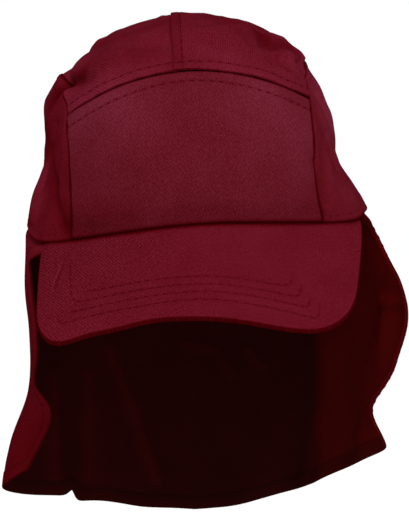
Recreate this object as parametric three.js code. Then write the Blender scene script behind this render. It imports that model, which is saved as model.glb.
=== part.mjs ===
// A legionnaire cap: a five-panel cloth crown, a curved peak and a neck flap.
// Lengths are millimetres and angles are degrees. The origin is the centre of the
// head opening, +Z is up, and the peak points along -Y. An azimuth is measured at
// the origin from the front (-Y) towards +X, so 90 is the wearer's left ear.
import * as THREE from "three";

// Driving dimensions

const CROWN_WIDTH = 174;
const CROWN_FRONT_REACH = 93;
const CROWN_BACK_REACH = 91;
const CROWN_HEIGHT = 119;
const CROWN_WALL = 2;
const PLAN_FULLNESS = 2.2;
const DOME_FULLNESS = 2.45;

const FRONT_PANEL_WIDTH = 135;
const FRONT_PANEL_HEIGHT = 84;
const ARCH_DROP = 23;
const CENTRE_SEAM_X = -5;
const SEAM_GAP = 0.3;

const RIM_LIFT = 9;
const RIM_FLARE = 11;
const FLARE_HEIGHT = 38;
const FLARE_CURVE = 1.6;
const FLARE_FADE_ANGLE = 33;

const PEAK_SPAN_ANGLE = 68;
const PEAK_LENGTH = 72;
const PEAK_WIDTH = 173;
const PEAK_WALL = 3.4;
const PEAK_SLOPE_ANGLE = 36;
const PEAK_BEND = 31;
const PEAK_SQUARENESS = 5.5;
const PEAK_ROUNDING = 0.3;
const PEAK_SIDE_ANGLE = 86;
const PEAK_INSET = 1.5;

const FLAP_LENGTH = 193;
const FLAP_FRONT_LENGTH = 134;
const FLAP_HEM_CURVE = 1.4;
const FLAP_WALL = 1.6;
const FLAP_LEAN_ANGLE = 4;
const FLAP_CLEARANCE_ANGLE = 2;
const FLAP_LEVEL_CURVE = 1.5;

// Main folds of the crown. Each runs between two points of the dome, given by
// azimuth and by height as a share of CROWN_HEIGHT. Its spread is its half width
// and its relief how far it stands out, or in where negative, as shares of
// CROWN_WIDTH.
const CROWN_FOLDS = [
  { from: [308, 0.74], to: [286, 0.7], spread: 0.03, relief: -0.022 },
  { from: [296, 0.66], to: [283, 0.5], spread: 0.026, relief: 0.014 },
  { from: [292, 0.52], to: [290, 0.24], spread: 0.02, relief: -0.012 },
  { from: [318, 0.9], to: [350, 0.86], spread: 0.026, relief: -0.012 },
  { from: [312, 0.83], to: [345, 0.8], spread: 0.022, relief: 0.008 },
  { from: [45, 0.87], to: [62, 0.84], spread: 0.04, relief: -0.022 },
  { from: [52, 0.79], to: [66, 0.75], spread: 0.028, relief: 0.014 },
  { from: [20, 0.92], to: [52, 0.93], spread: 0.03, relief: 0.01 },
  { from: [66, 0.66], to: [74, 0.36], spread: 0.022, relief: -0.01 },
  { from: [62, 0.4], to: [66, 0.12], spread: 0.02, relief: -0.01 },
  { from: [78, 0.3], to: [96, 0.2], spread: 0.07, relief: -0.02 },
  { from: [285, 0.9], to: [300, 0.97], spread: 0.1, relief: -0.02 },
  { from: [75, 0.92], to: [60, 0.97], spread: 0.08, relief: -0.012 },
];

// Folds of the flap, a row for each. Around is the place along the flap from its
// right front edge (0) to its left one (1), and spread the half width, both as
// shares of its width. Upper, middle, lower and hem are how far the fold stands out
// at four levels going down, as shares of CROWN_WIDTH.
const FLAP_FOLDS = [
  { around: 0.0, spread: 0.09, upper: 0.15, middle: 0.12, lower: 0.03, hem: 0.095 },
  { around: 0.12, spread: 0.06, upper: 0.03, middle: 0.01, lower: 0.0, hem: -0.02 },
  { around: 0.24, spread: 0.07, upper: 0.0, middle: -0.01, lower: -0.03, hem: -0.07 },
  { around: 0.34, spread: 0.035, upper: 0.0, middle: 0.008, lower: 0.012, hem: 0.02 },
  { around: 0.43, spread: 0.04, upper: 0.0, middle: -0.008, lower: -0.014, hem: -0.026 },
  { around: 0.52, spread: 0.04, upper: 0.0, middle: 0.006, lower: 0.012, hem: 0.02 },
  { around: 0.6, spread: 0.035, upper: 0.0, middle: -0.008, lower: -0.012, hem: -0.022 },
  { around: 0.68, spread: 0.035, upper: 0.0, middle: 0.008, lower: 0.012, hem: 0.022 },
  { around: 0.77, spread: 0.05, upper: 0.0, middle: -0.02, lower: -0.03, hem: -0.06 },
  { around: 0.91, spread: 0.06, upper: -0.025, middle: -0.01, lower: 0.05, hem: 0.085 },
  { around: 1.0, spread: 0.05, upper: 0.0, middle: -0.035, lower: -0.03, hem: 0.035 },
];

// Steps across and along each piece

const GRID = {
  front: [22, 11],
  top: [10, 22],
  side: [18, 10],
  peak: [40, 9],
  flap: [60, 16],
};

const CLOTH_COLOUR = 0x611622;
const CLOTH_ROUGHNESS = 0.9;

// Helpers

const { clamp, degToRad, lerp, radToDeg, smoothstep } = THREE.MathUtils;
const point = (x, y, z) => new THREE.Vector3(x, y, z);
const UP = point(0, 0, 1);
const BISECTION_STEPS = 40;

// The value between low and high where a rising function reaches a target.
function solve(rising, target, low, high) {
  for (let step = 0; step < BISECTION_STEPS; step++) {
    const middle = (low + high) / 2;
    if (rising(middle) < target) low = middle;
    else high = middle;
  }
  return (low + high) / 2;
}

// A bell of height 1 at 0 that fades out past the spread.
const bell = (distance, spread) => Math.exp(-((distance / spread) ** 2));

// A smooth line through evenly spaced values, at a share 0 to 1 of its length.
function through(values, share) {
  const place = share * (values.length - 1);
  const start = Math.min(Math.floor(place), values.length - 2);
  const value = (step) => values[clamp(start + step, 0, values.length - 1)];
  const slope = (step) => (value(step + 1) - value(step - 1)) / 2;
  const [t, rise] = [place - start, value(1) - value(0)];
  const cubic = slope(0) + slope(1) - 2 * rise;
  const square = 3 * rise - 2 * slope(0) - slope(1);
  return value(0) + t * (slope(0) + t * (square + t * cubic));
}

// The dome that the crown's cloth follows

const planReach = (y) => (y < 0 ? CROWN_FRONT_REACH : CROWN_BACK_REACH);

// The dome's plan, where 1 is its outline at the rim.
function planShare({ x, y }) {
  const across = Math.abs(x) / (CROWN_WIDTH / 2);
  const along = Math.abs(y) / planReach(y);
  return across ** PLAN_FULLNESS + along ** PLAN_FULLNESS;
}

// 1 on the dome, less inside it and more outside.
function domeShare(p) {
  const rise = Math.abs(p.z) / CROWN_HEIGHT;
  return planShare(p) ** (DOME_FULLNESS / PLAN_FULLNESS) + rise ** DOME_FULLNESS;
}

// The place on the dome that lies the same way from the origin as p does.
const ontoDome = (p) => p.clone().multiplyScalar(domeShare(p) ** (-1 / DOME_FULLNESS));

function domeNormal(p) {
  const ends = [CROWN_WIDTH / 2, planReach(p.y)];
  const plan = planShare(p) ** (DOME_FULLNESS / PLAN_FULLNESS - 1);
  const slope = (length, end, power) => (Math.abs(length) / end) ** (power - 1) / end;
  return point(
    Math.sign(p.x) * plan * slope(p.x, ends[0], PLAN_FULLNESS),
    Math.sign(p.y) * plan * slope(p.y, ends[1], PLAN_FULLNESS),
    Math.sign(p.z) * slope(p.z, CROWN_HEIGHT, DOME_FULLNESS),
  ).normalize();
}

// The place on the dome at an azimuth and a height.
function domeAt(azimuth, height) {
  const turn = degToRad(azimuth);
  const way = point(Math.sin(turn), -Math.cos(turn), 0);
  const level = (1 - (height / CROWN_HEIGHT) ** DOME_FULLNESS) ** (1 / DOME_FULLNESS);
  return way
    .multiplyScalar(level * planShare(way) ** (-1 / PLAN_FULLNESS))
    .setZ(height);
}

// The place on the dome at x, on the ray that turns from the front (0) over the
// top (90) to the back (180).
function domeAcross(x, turn) {
  const ray = point(0, -Math.cos(degToRad(turn)), Math.sin(degToRad(turn)));
  const along = (reach) => ray.clone().multiplyScalar(reach).setX(x);
  const furthest = CROWN_HEIGHT + CROWN_FRONT_REACH + CROWN_BACK_REACH;
  return along(solve((reach) => domeShare(along(reach)), 1, 0, furthest));
}

// The shape of the cloth over the dome

// Signed difference of two azimuths, from -180 to 180.
const turnBetween = (a, b) => ((a - b + 540) % 360) - 180;
const azimuthOf = (p) => (radToDeg(Math.atan2(p.x, -p.y)) + 360) % 360;

// The rim rises in the middle of the front, over the peak.
function rimHeight(azimuth) {
  const off = Math.abs(turnBetween(azimuth, 0)) / PEAK_SPAN_ANGLE;
  return RIM_LIFT * Math.cos((Math.min(off, 1) * Math.PI) / 2) ** 2;
}

// How far the rim is pulled out at both sides, from behind the peak to the back.
function flareAt(p) {
  const side = Math.abs(turnBetween(azimuthOf(p), 0));
  const front = smoothstep(side, PEAK_SPAN_ANGLE - FLARE_FADE_ANGLE, PEAK_SPAN_ANGLE);
  const back = 1 - smoothstep(side, 180 - 2 * FLARE_FADE_ANGLE, 180 - FLARE_FADE_ANGLE / 2);
  const fall = Math.max(0, 1 - p.z / FLARE_HEIGHT) ** FLARE_CURVE;
  return RIM_FLARE * front * back * fall;
}

const foldLines = CROWN_FOLDS.map(({ from, to, spread, relief }) => ({
  line: new THREE.Line3(
    domeAt(from[0], from[1] * CROWN_HEIGHT),
    domeAt(to[0], to[1] * CROWN_HEIGHT),
  ),
  spread: spread * CROWN_WIDTH,
  relief: relief * CROWN_WIDTH,
}));

function foldAt(p) {
  let relief = 0;
  for (const fold of foldLines) {
    const nearest = fold.line.closestPointToPoint(p, true, point());
    relief += fold.relief * bell(nearest.distanceTo(p), fold.spread);
  }
  return relief;
}

// The outside of the cloth at a place on the dome, or a depth below it.
function cloth(p, depth = 0) {
  const outward = point(p.x, p.y, 0).normalize().multiplyScalar(flareAt(p));
  return p
    .clone()
    .add(outward)
    .addScaledVector(domeNormal(p), foldAt(p) - depth);
}

// Seams and edges, as curves on the dome

const SIDE_SEAM_X = FRONT_PANEL_WIDTH / 2;

// The arch seam across the top of the front panel.
const archHeight = (x) =>
  RIM_LIFT + FRONT_PANEL_HEIGHT - ARCH_DROP * Math.abs(x / SIDE_SEAM_X) ** 2;

const archTurn = (x) => solve((turn) => domeAcross(x, turn).z, archHeight(x), 0, 90);

// The arch seam, moved up over the dome by a distance.
function onArch(x, up) {
  const turn = archTurn(x);
  const reach = Math.hypot(domeAcross(x, turn).y, domeAcross(x, turn).z);
  return domeAcross(x, turn + radToDeg(up / reach));
}

// The rim, with its rise at the front.
const onRim = (azimuth) => domeAt(azimuth, rimHeight(azimuth));

const seamCornerAzimuth = (x) => solve((azimuth) => onRim(azimuth).x, x, 0, 90);

const turnOf = (p) => radToDeg(Math.atan2(p.z, -p.y));

// Solids from grids of points

// Blends four edge curves, each a function of a share 0 to 1, and lays the result
// on the dome. Low and high run in u; left and right run in v.
function domePatch({ low, high, left, right }) {
  return (u, v) => {
    const across = low(u).lerp(high(u), v);
    const along = left(v).lerp(right(v), u);
    const corners = low(0).lerp(high(0), v).lerp(low(1).lerp(high(1), v), u);
    return ontoDome(across.add(along).sub(corners));
  };
}

const gridOf = ([columns, rows], surface) =>
  Array.from({ length: rows + 1 }, (_, row) =>
    Array.from({ length: columns + 1 }, (_, column) =>
      surface(column / columns, row / rows),
    ),
  );

// The closed solid between an outer and an inner grid. Seen from outside, columns
// run to the right and rows run up.
function solidBetween(outer, inner) {
  const rows = outer.length;
  const columns = outer[0].length;
  const at = (layer, row, column) => (layer * rows + row) * columns + column;
  const index = [];
  const quad = (a, b, c, d) => index.push(a, b, c, a, c, d);
  for (let r = 0; r < rows - 1; r++)
    for (let c = 0; c < columns - 1; c++) {
      quad(at(0, r, c), at(0, r, c + 1), at(0, r + 1, c + 1), at(0, r + 1, c));
      quad(at(1, r, c), at(1, r + 1, c), at(1, r + 1, c + 1), at(1, r, c + 1));
    }
  for (let c = 0; c < columns - 1; c++) {
    const top = rows - 1;
    quad(at(1, 0, c), at(1, 0, c + 1), at(0, 0, c + 1), at(0, 0, c));
    quad(at(0, top, c), at(0, top, c + 1), at(1, top, c + 1), at(1, top, c));
  }
  for (let r = 0; r < rows - 1; r++) {
    const last = columns - 1;
    quad(at(0, r, 0), at(0, r + 1, 0), at(1, r + 1, 0), at(1, r, 0));
    quad(at(1, r, last), at(1, r + 1, last), at(0, r + 1, last), at(0, r, last));
  }
  const geometry = new THREE.BufferGeometry();
  const places = [outer, inner].flat(2).flatMap((p) => p.toArray());
  geometry.setAttribute("position", new THREE.Float32BufferAttribute(places, 3));
  geometry.setIndex(index);
  geometry.computeVertexNormals();
  return geometry;
}

function crownPanel(steps, edges) {
  const grid = gridOf(steps, domePatch(edges));
  const layer = (depth) => grid.map((row) => row.map((p) => cloth(p, depth)));
  return solidBetween(layer(0), layer(CROWN_WALL));
}

// The crown's panels

const HALF_GAP = SEAM_GAP / 2;

// The stiff front panel, from the peak up to the arch seam.
function frontPanel() {
  const edge = SIDE_SEAM_X - HALF_GAP;
  const corner = seamCornerAzimuth(edge);
  const low = turnOf(onRim(corner));
  const high = turnOf(onArch(edge, -HALF_GAP));
  return crownPanel(GRID.front, {
    low: (u) => onRim(lerp(-corner, corner, u)),
    high: (u) => onArch(lerp(-edge, edge, u), -HALF_GAP),
    left: (v) => domeAcross(-edge, lerp(low, high, v)),
    right: (v) => domeAcross(edge, lerp(low, high, v)),
  });
}

// One half of the top, between x values, from the arch seam over to the back rim.
function topPanel(leftX, rightX) {
  const start = (x) => turnOf(onArch(x, HALF_GAP));
  const seam = (x) => (v) => domeAcross(x, lerp(start(x), 180, v));
  return crownPanel(GRID.top, {
    low: (u) => onArch(lerp(leftX, rightX, u), HALF_GAP),
    high: (u) => domeAcross(lerp(leftX, rightX, u), 180),
    left: seam(leftX),
    right: seam(rightX),
  });
}

// One side, from the rim up to the side seam. Side is 1 towards +X, -1 towards -X.
function sidePanel(side) {
  const edge = SIDE_SEAM_X + HALF_GAP;
  const corner = seamCornerAzimuth(edge);
  const low = turnOf(onRim(corner));
  const shoulder = turnOf(onArch(SIDE_SEAM_X, 0));
  const backCorner = domeAcross(edge, 180);
  const backAzimuth = azimuthOf(backCorner);
  const along = (u) => (side > 0 ? u : 1 - u);
  const seam = (from, to) => (v) => domeAcross(side * edge, lerp(from, to, v));
  const front = seam(low, shoulder);
  const back = seam(180, 180 - shoulder);
  return crownPanel(GRID.side, {
    low: (u) => onRim(side * lerp(corner, backAzimuth, along(u))),
    high: (u) => seam(shoulder, 180 - shoulder)(along(u)),
    left: side > 0 ? front : back,
    right: side > 0 ? back : front,
  });
}

// The peak

// The peak's outline before it is bent, in the direction at an angle from straight
// ahead: x across, and forward as a share from the root corners to the tip.
function peakOutline(angle) {
  const [across, ahead] = [Math.sin(degToRad(angle)), Math.cos(degToRad(angle))];
  const power = PEAK_SQUARENESS;
  const reach = (Math.abs(across) ** power + Math.abs(ahead) ** power) ** (-1 / power);
  return { x: (PEAK_WIDTH / 2) * reach * across, forward: reach * ahead };
}

// How far the sheet of the peak is bent down at x: straight towards its sides and
// rounded in the middle.
function peakBend(x) {
  const drop = (share) => Math.hypot(PEAK_ROUNDING, share) - PEAK_ROUNDING;
  return (PEAK_BEND * drop(x / (PEAK_WIDTH / 2))) / drop(1);
}

// The peak's sheet slopes down forwards from the rim, at x and at a distance along
// the slope.
function peakSheet(x, along) {
  const start = cloth(onRim(0));
  const slope = degToRad(PEAK_SLOPE_ANGLE);
  const bend = peakBend(x);
  return point(
    x,
    start.y - along * Math.cos(slope) + bend * Math.sin(slope),
    start.z - along * Math.sin(slope) - bend * Math.cos(slope),
  );
}

// The edge of the peak in space: on its sheet at the tip, and drawn in to the end
// of the root at each side.
function peakEdge(angle) {
  const corner = cloth(onRim(PEAK_SPAN_ANGLE));
  const cornerAlong = (cloth(onRim(0)).y - corner.y) * Math.cos(degToRad(PEAK_SLOPE_ANGLE));
  const { x, forward } = peakOutline(angle);
  const drawn = corner.sub(peakSheet(PEAK_WIDTH / 2, cornerAlong));
  drawn.x *= Math.sign(x);
  return peakSheet(x, lerp(cornerAlong, PEAK_LENGTH, forward)).addScaledVector(
    drawn,
    1 - forward,
  );
}

// The root lies under the crown's lower edge, with a gap, and follows the rim.
function peakRoot(azimuth) {
  const outer = cloth(onRim(azimuth), PEAK_INSET);
  return outer.setZ(rimHeight(azimuth) - SEAM_GAP);
}

function peak() {
  const slope = degToRad(PEAK_SLOPE_ANGLE);
  const down = point(0, Math.sin(slope), -Math.cos(slope)).multiplyScalar(PEAK_WALL);
  const outer = gridOf(GRID.peak, (u, v) => {
    const across = lerp(-1, 1, u);
    return peakEdge(across * PEAK_SIDE_ANGLE).lerp(peakRoot(across * PEAK_SPAN_ANGLE), v);
  });
  const inner = outer.map((row) => row.map((p) => p.clone().add(down)));
  return solidBetween(outer, inner);
}

// The neck flap

const FLAP_START = PEAK_SPAN_ANGLE + FLAP_CLEARANCE_ANGLE;
const FLAP_SWEEP = 360 - 2 * FLAP_START;

// How far down the hem lies: furthest at the back, least at the front edges.
function flapDrop(around) {
  const off = Math.abs(2 * around - 1) ** FLAP_HEM_CURVE;
  return lerp(FLAP_LENGTH, FLAP_FRONT_LENGTH, off);
}

// How far the folds stand out, from nothing at the rim to their size at the hem.
function flapRelief(around, down) {
  let relief = 0;
  for (const fold of FLAP_FOLDS) {
    const levels = [0, fold.upper, fold.middle, fold.lower, fold.hem];
    const size = through(levels, down ** FLAP_LEVEL_CURVE);
    relief += size * CROWN_WIDTH * bell(around - fold.around, fold.spread);
  }
  return relief;
}

function flapSurface(around, down) {
  const azimuth = FLAP_START + around * FLAP_SWEEP;
  const rim = cloth(onRim(azimuth));
  const drop = flapDrop(around) * down;
  const ahead = cloth(onRim(azimuth + 1)).sub(cloth(onRim(azimuth - 1)));
  const outward = ahead.cross(UP).normalize();
  const place = rim.addScaledVector(outward, flapRelief(around, down));
  place.x -= drop * Math.tan(degToRad(FLAP_LEAN_ANGLE));
  place.z = rimHeight(azimuth) - SEAM_GAP - drop;
  return place;
}

// The inside lies a wall's thickness behind the outside, square to the surface as
// measured over nearby places.
function flapInside(around, down) {
  const step = 0.004;
  const [left, right] = [clamp(around - step, 0, 1), clamp(around + step, 0, 1)];
  const [above, below] = [clamp(down - step, 0, 1), clamp(down + step, 0, 1)];
  const along = flapSurface(right, down).sub(flapSurface(left, down));
  const upward = flapSurface(around, above).sub(flapSurface(around, below));
  const outward = along.cross(upward).normalize();
  const outside = flapSurface(around, down);
  const inside = outside.clone().addScaledVector(outward, -FLAP_WALL);
  return down === 0 ? inside.setZ(outside.z) : inside;
}

function neckFlap() {
  const outer = gridOf(GRID.flap, (u, v) => flapSurface(u, 1 - v));
  const inner = gridOf(GRID.flap, (u, v) => flapInside(u, 1 - v));
  return solidBetween(outer, inner);
}

// The assembly

function named(name, geometry) {
  const material = new THREE.MeshStandardMaterial({
    color: CLOTH_COLOUR,
    roughness: CLOTH_ROUGHNESS,
    metalness: 0,
  });
  const mesh = new THREE.Mesh(geometry, material);
  mesh.name = name;
  return mesh;
}

const seamInset = SIDE_SEAM_X - HALF_GAP;

const cap = new THREE.Group();
cap.add(
  named("front_panel", frontPanel()),
  named("top_panel_right", topPanel(CENTRE_SEAM_X + HALF_GAP, seamInset)),
  named("top_panel_left", topPanel(-seamInset, CENTRE_SEAM_X - HALF_GAP)),
  named("side_panel_right", sidePanel(1)),
  named("side_panel_left", sidePanel(-1)),
  named("peak", peak()),
  named("neck_flap", neckFlap()),
);

export default cap;
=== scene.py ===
import math

import bpy
import numpy as np
from mathutils import Matrix, Vector


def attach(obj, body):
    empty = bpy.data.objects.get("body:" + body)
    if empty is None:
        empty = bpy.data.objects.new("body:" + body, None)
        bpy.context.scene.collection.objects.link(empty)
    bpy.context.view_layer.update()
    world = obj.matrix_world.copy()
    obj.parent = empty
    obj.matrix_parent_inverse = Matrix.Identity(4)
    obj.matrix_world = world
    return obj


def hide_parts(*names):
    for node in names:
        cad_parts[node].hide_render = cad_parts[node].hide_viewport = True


# The looks of a legionnaire cap: five crown panels, a peak and a neck flap, as fine
# cloth shells with seams, stitches and folds. Lengths are metres and angles degrees.
# -Y is the front, +Z is up, and the origin is the centre of the head opening. An
# azimuth is measured from the front towards +X. The crown's dome, the peak's sheet
# and the flap's curtain follow the same rules and sizes as the part's solids.

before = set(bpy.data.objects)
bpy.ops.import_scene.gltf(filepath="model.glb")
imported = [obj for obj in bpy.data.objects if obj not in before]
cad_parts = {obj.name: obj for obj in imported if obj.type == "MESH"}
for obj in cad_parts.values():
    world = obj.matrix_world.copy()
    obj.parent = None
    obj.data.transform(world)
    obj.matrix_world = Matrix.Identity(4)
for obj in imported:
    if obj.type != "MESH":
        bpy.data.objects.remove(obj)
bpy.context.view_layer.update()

MM = 0.001

# Sizes of the solids that the cloth follows

CROWN_WIDTH = 174 * MM
CROWN_FRONT_REACH = 93 * MM
CROWN_BACK_REACH = 91 * MM
CROWN_HEIGHT = 119 * MM
PLAN_FULLNESS = 2.2
DOME_FULLNESS = 2.45

FRONT_PANEL_WIDTH = 135 * MM
FRONT_PANEL_HEIGHT = 84 * MM
ARCH_DROP = 23 * MM
CENTRE_SEAM_X = -5 * MM
SEAM_GAP = 0.3 * MM

RIM_LIFT = 9 * MM
RIM_FLARE = 11 * MM
FLARE_HEIGHT = 38 * MM
FLARE_CURVE = 1.6
FLARE_FADE_ANGLE = 33

PEAK_SPAN_ANGLE = 68
PEAK_LENGTH = 72 * MM
PEAK_WIDTH = 173 * MM
PEAK_WALL = 3.4 * MM
PEAK_SLOPE_ANGLE = 36
PEAK_BEND = 31 * MM
PEAK_SQUARENESS = 5.5
PEAK_ROUNDING = 0.3
PEAK_SIDE_ANGLE = 86
PEAK_INSET = 1.5 * MM

FLAP_LENGTH = 193 * MM
FLAP_FRONT_LENGTH = 134 * MM
FLAP_HEM_CURVE = 1.4
FLAP_LEAN_ANGLE = 4
FLAP_CLEARANCE_ANGLE = 2
FLAP_LEVEL_CURVE = 1.5

# Folds of the crown: start, end, spread and relief. Start and end are places on the
# dome, by azimuth and share of CROWN_HEIGHT. The others are shares of CROWN_WIDTH.
CROWN_FOLDS = [
    ((308, 0.74), (286, 0.7), 0.03, -0.022),
    ((296, 0.66), (283, 0.5), 0.026, 0.014),
    ((292, 0.52), (290, 0.24), 0.02, -0.012),
    ((318, 0.9), (350, 0.86), 0.026, -0.012),
    ((312, 0.83), (345, 0.8), 0.022, 0.008),
    ((45, 0.87), (62, 0.84), 0.04, -0.022),
    ((52, 0.79), (66, 0.75), 0.028, 0.014),
    ((20, 0.92), (52, 0.93), 0.03, 0.01),
    ((66, 0.66), (74, 0.36), 0.022, -0.01),
    ((62, 0.4), (66, 0.12), 0.02, -0.01),
    ((78, 0.3), (96, 0.2), 0.07, -0.02),
    ((285, 0.9), (300, 0.97), 0.1, -0.02),
    ((75, 0.92), (60, 0.97), 0.08, -0.012),
]

# Folds of the flap: the place along it from its right front edge (0) to its left one
# (1), the half width, and how far the fold stands out at four levels going down, as
# shares of CROWN_WIDTH.
FLAP_FOLDS = [
    (0.0, 0.09, (0.15, 0.12, 0.03, 0.095)),
    (0.12, 0.06, (0.03, 0.01, 0.0, -0.02)),
    (0.24, 0.07, (0.0, -0.01, -0.03, -0.07)),
    (0.34, 0.035, (0.0, 0.008, 0.012, 0.02)),
    (0.43, 0.04, (0.0, -0.008, -0.014, -0.026)),
    (0.52, 0.04, (0.0, 0.006, 0.012, 0.02)),
    (0.6, 0.035, (0.0, -0.008, -0.012, -0.022)),
    (0.68, 0.035, (0.0, 0.008, 0.012, 0.022)),
    (0.77, 0.05, (0.0, -0.02, -0.03, -0.06)),
    (0.91, 0.06, (-0.025, -0.01, 0.05, 0.085)),
    (1.0, 0.05, (0.0, -0.035, -0.03, 0.035)),
]

# Smaller folds of the crown that only the looks have, in the same terms but with
# spread and relief in millimetres.
CROWN_DETAILS = [
    ((276, 0.74), (268, 0.6), 15, 6.5),
    ((262, 0.82), (275, 0.775), 8, -4.5),
    ((260, 0.885), (264, 0.865), 5, 2),
    ((250, 0.985), (246, 0.97), 8, -2.8),
    ((116, 0.978), (112, 0.965), 8, -2),
    ((88, 0.84), (92, 0.76), 10, 2),
    ((100, 0.965), (98, 0.83), 9, -2.4),
    ((90, 0.985), (80, 0.97), 16, -2.4),
    ((262, 0.16), (286, 0.16), 14, 3),
    ((78, 0.02), (104, 0.04), 12, 0.5),
    ((288, 0.71), (283, 0.735), 5, -3.5),
    ((284, 0.64), (279, 0.516), 4, -2),
    ((290, 0.414), (301, 0.262), 3.5, -1.4),
    ((301, 0.262), (309, 0.065), 3.5, -1.4),
    ((286, 0.3), (286, 0.1), 7, 1.2),
    ((300, 0.86), (328, 0.87), 1.6, -0.8),
    ((328, 0.87), (353, 0.868), 1.6, -0.6),
    ((58, 0.87), (46, 0.77), 5, -1.8),
    ((63, 0.81), (57, 0.71), 4, 1.6),
    ((80, 0.79), (74, 0.73), 2.5, -1.2),
    ((17, 0.87), (33, 0.81), 6, -0.9),
    ((33, 0.81), (56, 0.75), 6, -0.9),
    ((63, 0.5), (63, 0.38), 4, 1.3),
    ((48, 0.29), (48, 0.1), 3, -1.2),
    ((57, 0.27), (54, 0.1), 4, 1),
]

# Places on the crown that are darker or paler in the photograph: painted shade in folds
# and dents, painted light on lit places, and worn places. Each is a line through
# azimuths and height shares, the spread in millimetres, and the change of tone.
CROWN_SHADES_AND_WEAR = [
    ([(-60, 0.76), (-74, 0.7), (-77, 0.65)], 4.5, -0.4),
    ([(-81, 0.63), (-79, 0.57), (-71, 0.42), (-59, 0.24), (-51, 0.14), (-47, 0.05)], 5, -0.17),
    ([(-62, 0.64), (-56, 0.54), (-53, 0.38)], 3, 0.1),
    ([(-74, 0.3), (-70, 0.15)], 8, 0.16),
    ([(-90, 0.07), (-80, 0.052), (-72, 0.034), (-64, 0.02)], 2, 0.16),
    ([(-88, 0.1), (-76, 0.072), (-70, 0.055)], 1.2, -0.25),
    ([(-44, 0.06), (0, 0.12), (44, 0.06)], 6, -0.07),
    ([(-83, 0.6), (-72, 0.36)], 4, -0.12),
    ([(-88, 0.88), (-45, 0.94), (-19, 0.97)], 9, -0.1),
    ([(-61, 0.79), (-40, 0.82), (-18, 0.83)], 8, -0.1),
    ([(26, 0.98), (38, 0.92), (55, 0.9)], 8, -0.1),
    ([(62, 0.9), (64, 0.84), (78, 0.79)], 7, -0.28),
    ([(12, 0.84), (28, 0.81), (36, 0.8)], 6, 0.07),
    ([(78, 0.58), (78, 0.38)], 20, 0.42),
    ([(50, 0.76), (55, 0.75)], 4.5, 0.1),
    ([(50, 0.78), (48, 0.75), (50, 0.72), (52, 0.71)], 1.2, -0.2),
    ([(60, 0.74), (66, 0.74), (80, 0.755)], 1.2, -0.2),
    ([(61, 0.13), (69, 0.07)], 7, 0.16),
    ([(56, 0.43), (50, 0.21), (47, 0.05)], 3.5, -0.12),
    ([(-45, 0.1), (-36, 0.1), (-23, 0.12)], 9, -0.16),
    ([(-46, 0.6), (-28, 0.64)], 22, 0.23),
    ([(28, 0.62), (42, 0.42)], 22, 0.21),
]

# Smaller shapes of the flap's two front edges: the place along it, the half width, and
# how far it stands out at nine even levels going down, in millimetres.
FLAP_EDGES = [
    (0.0, 0.08, (2, 6.5, 5, -0.5, -2.6, -2, 0, 0, -1)),
    (0.07, 0.035, (0, 0, -1, -4, -4, -2, 0, 0, 0)),
    (0.93, 0.07, (0, 1, 2, 2, 1.5, 2, 3.2, 2, 0.5)),
    (1.0, 0.03, (0, 0, -2.2, -3.7, -1.5, 4, -6, -6, -5)),
]

# Creases of the flap: a line through places given by shares along and down it, and the
# spread and relief in millimetres. A positive relief stands outwards.
FLAP_CREASES = [
    ([(0.655, 0.465), (0.574, 0.893)], 4.5, -2),
    ([(0.516, 0.452), (0.465, 0.478), (0.436, 0.559)], 3.5, -1.4),
    ([(0.405, 0.492), (0.381, 0.552)], 3, -1.2),
    ([(0.78, 0.548), (0.8, 0.92)], 5, -1.6),
    ([(0.692, 0.555), (0.692, 0.906)], 5, -1.4),
    ([(0.289, 0.3), (0.285, 0.753), (0.262, 1.0)], 6, 1.2),
    ([(0.116, 0.398), (0.04, 0.39)], 4, 0.8),
    ([(0.09, 0.34), (0.05, 0.35)], 7, -0.7),
]

# How much lower the hem hangs in places: where along the flap, over what half width,
# and by how many millimetres.
HEM_DROPS = [
    (0.86, 0.07, 3),
    (0.755, 0.02, -5),
    (1.0, 0.03, -2),
    (0.71, 0.04, 1.6),
    (0.36, 0.1, 2.4),
    (0.0, 0.14, -2.2),
]

# Sizes that only the looks have

CROWN_CLOTH = 1.5 * MM
FLAP_CLOTH = 0.9 * MM
GRID_STEP = 0.9 * MM
FINE_BORDER = np.array([0, 0.15, 0.35, 0.6, 0.9, 1.3, 1.8, 2.5]) * MM
SEAM_ROLL = 0.9 * MM
ARCH_OVERHANG = 1.4 * MM
ARCH_DROOP = 2.4 * MM
ARCH_DROOP_SPREAD = 48 * MM
ARCH_TUCK = 2.5 * MM
ARCH_LAP_WIDTH = 7 * MM
ARCH_LAP_RELIEF = 0.9 * MM
LAP_THICKNESS = 0.8 * MM
CENTRE_OVERHANG = 1.6 * MM
RIM_OVERLAP = 1 * MM
SIDE_LIFT = 6 * MM
SIDE_LIFT_AZIMUTH = -88
SIDE_LIFT_SPREAD = 13
TAB_ANGLE = 13
TAB_LENGTH = 14.5 * MM
TAB_SHARE = 0.05
CLOSING_ANGLE = 3
HIDDEN_ALLOWANCE = 4.5 * MM
ALLOWANCE_WIDTH = 3.6 * MM
ALLOWANCE_RELIEF = 0.35 * MM
FRONT_ROW_INSET = 10.2 * MM
TOP_ROW_INSET = 5.7 * MM
CENTRE_ROW_INSET = 5.2 * MM
RIM_ROW_INSET = 4 * MM
PEAK_ROOT_ANGLES = (-62, 68)
PEAK_LIP_RADIUS = 0.8 * MM
# Painted shade on the peak's lip and its whole underside, as a factor.
LIP_SHADE = 0.5
PEAK_CREASE = np.array([(-74, -7, 0), (-77.3, 2, 0), (-79.8, 9, 0), (-80.8, 18, 0)]) * MM

# How the worn peak's edge departs from an even one: the angle from straight ahead, the
# spread in degrees, and the millimetres aside and ahead.
PEAK_SHIFTS = [
    (-90, 17, 5, 0),
    (-54, 9, -2.5, 0),
    (-37, 8, 0, -5.6),
    (-24, 17, 0, -8.6),
    (46, 11, -2.4, -5.8),
    (60, 15, -3.2, 0),
]

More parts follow.
